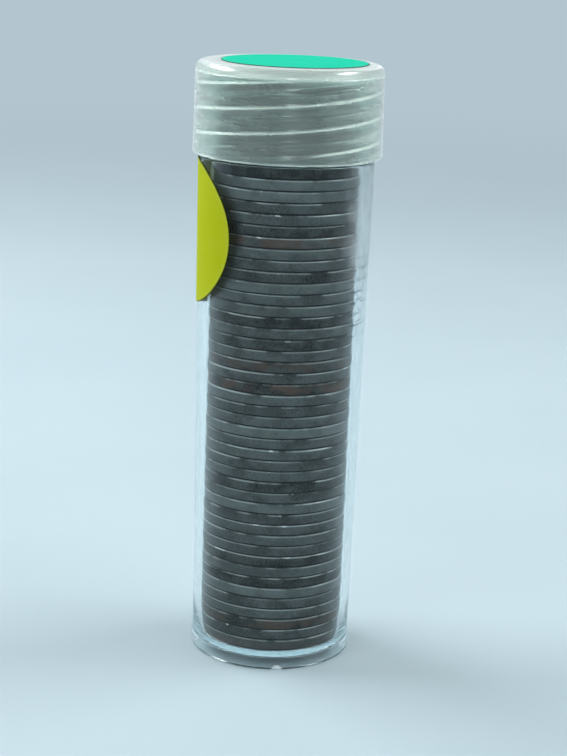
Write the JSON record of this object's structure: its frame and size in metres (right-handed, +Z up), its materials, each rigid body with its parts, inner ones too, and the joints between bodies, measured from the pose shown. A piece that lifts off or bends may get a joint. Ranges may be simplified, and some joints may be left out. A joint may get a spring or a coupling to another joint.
{
  "type": "coin tube",
  "caption": "Clear round moulded tube with a drafted wall and a beaded foot, holding a loose stack of coins under a translucent screw cap, with a round sticker on the cap and one on the side.",
  "frame": {"origin": "centre of the foot's underside, on the tube's axis", "axes": "+Z up the tube's axis towards the cap, -Y towards the viewer of the picture, the side sticker towards -X"},
  "size_m": [0.0246, 0.0246, 0.0795],
  "materials": {
    "clear_plastic": "clear and glossy, lightly scuffed",
    "milky_plastic": "translucent, satin",
    "green_paper": "matt coated paper",
    "yellow_paper": "matt coated paper",
    "coin_metal": "dark toned and worn"
  },
  "bodies": {
    "tube": {"tube_body": "clear_plastic", "tube_label": "yellow_paper"},
    "coin_stack": {"coin_01": "coin_metal", "coin_02": "coin_metal", "coin_03": "coin_metal", "coin_04": "coin_metal", "coin_05": "coin_metal", "coin_06": "coin_metal", "coin_07": "coin_metal", "coin_08": "coin_metal", "coin_09": "coin_metal", "coin_10": "coin_metal", "coin_11": "coin_metal", "coin_12": "coin_metal", "coin_13": "coin_metal", "coin_14": "coin_metal", "coin_15": "coin_metal", "coin_16": "coin_metal", "coin_17": "coin_metal", "coin_18": "coin_metal", "coin_19": "coin_metal", "coin_20": "coin_metal", "coin_21": "coin_metal", "coin_22": "coin_metal", "coin_23": "coin_metal", "coin_24": "coin_metal", "coin_25": "coin_metal", "coin_26": "coin_metal", "coin_27": "coin_metal", "coin_28": "coin_metal", "coin_29": "coin_metal", "coin_30": "coin_metal", "coin_31": "coin_metal", "coin_32": "coin_metal", "coin_33": "coin_metal", "coin_34": "coin_metal", "coin_35": "coin_metal", "coin_36": "coin_metal", "coin_37": "coin_metal", "coin_38": "coin_metal", "coin_39": "coin_metal", "coin_40": "coin_metal", "coin_41": "coin_metal", "coin_42": "coin_metal", "coin_43": "coin_metal", "coin_44": "coin_metal", "coin_45": "coin_metal", "coin_46": "coin_metal", "coin_47": "coin_metal", "coin_48": "coin_metal", "coin_49": "coin_metal", "coin_50": "coin_metal"},
    "cap_label_disc": {"cap_label": "green_paper"},
    "cap_shell": {"cap": "milky_plastic"}
  },
  "joints": [
    {"name": "cap_lift", "type": "slide", "parent": "tube", "child": "cap_label_disc", "axis": [0, 0, 1], "range_m": [0, 0.0105]},
    {"name": "cap_turn", "type": "hinge", "parent": "cap_label_disc", "child": "cap_shell", "pos_m": [0, 0, 0.0794], "axis": [0, 0, 1], "range_deg": [0, 600]},
    {"name": "coin_slide", "type": "slide", "parent": "tube", "child": "coin_stack", "axis": [0, 0, 1], "range_m": [0, 0.002]}
  ],
  "couplings": [
    {"joint": "cap_lift", "follows": "cap_turn", "m_per_rad": 0.0010027}
  ]
}
